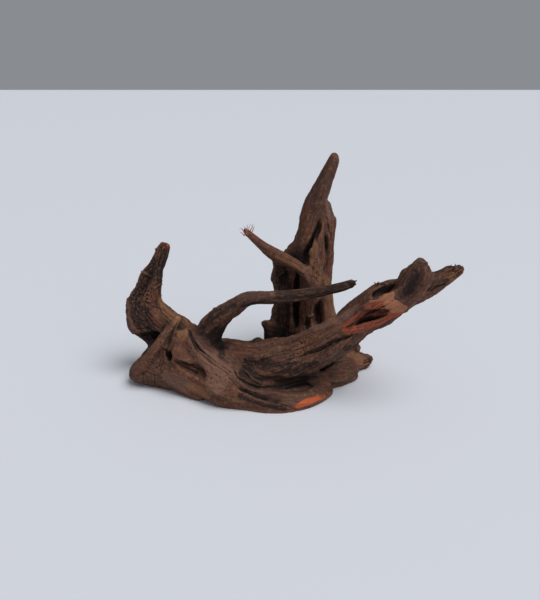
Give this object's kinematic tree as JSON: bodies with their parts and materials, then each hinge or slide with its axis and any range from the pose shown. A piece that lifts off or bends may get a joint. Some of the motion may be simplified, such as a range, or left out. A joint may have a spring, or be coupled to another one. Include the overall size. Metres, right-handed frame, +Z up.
{
  "type": "aquarium driftwood",
  "caption": "Weathered root driftwood with a broad flat-bottomed foot, an upright trunk, a heavy rising limb, a hooked horn and a slim arching root.",
  "frame": {"origin": "under the middle of the wood's box, on the surface that its foot rests on", "axes": "+Z up, +X to the right along the longest extent as seen from the front, +Y away from the viewer"},
  "size_m": [0.302, 0.1414, 0.2084],
  "materials": {
    "weathered_wood": "matte, weathered bare root wood"
  },
  "bodies": {
    "root": {"driftwood": "weathered_wood"}
  },
  "joints": []
}
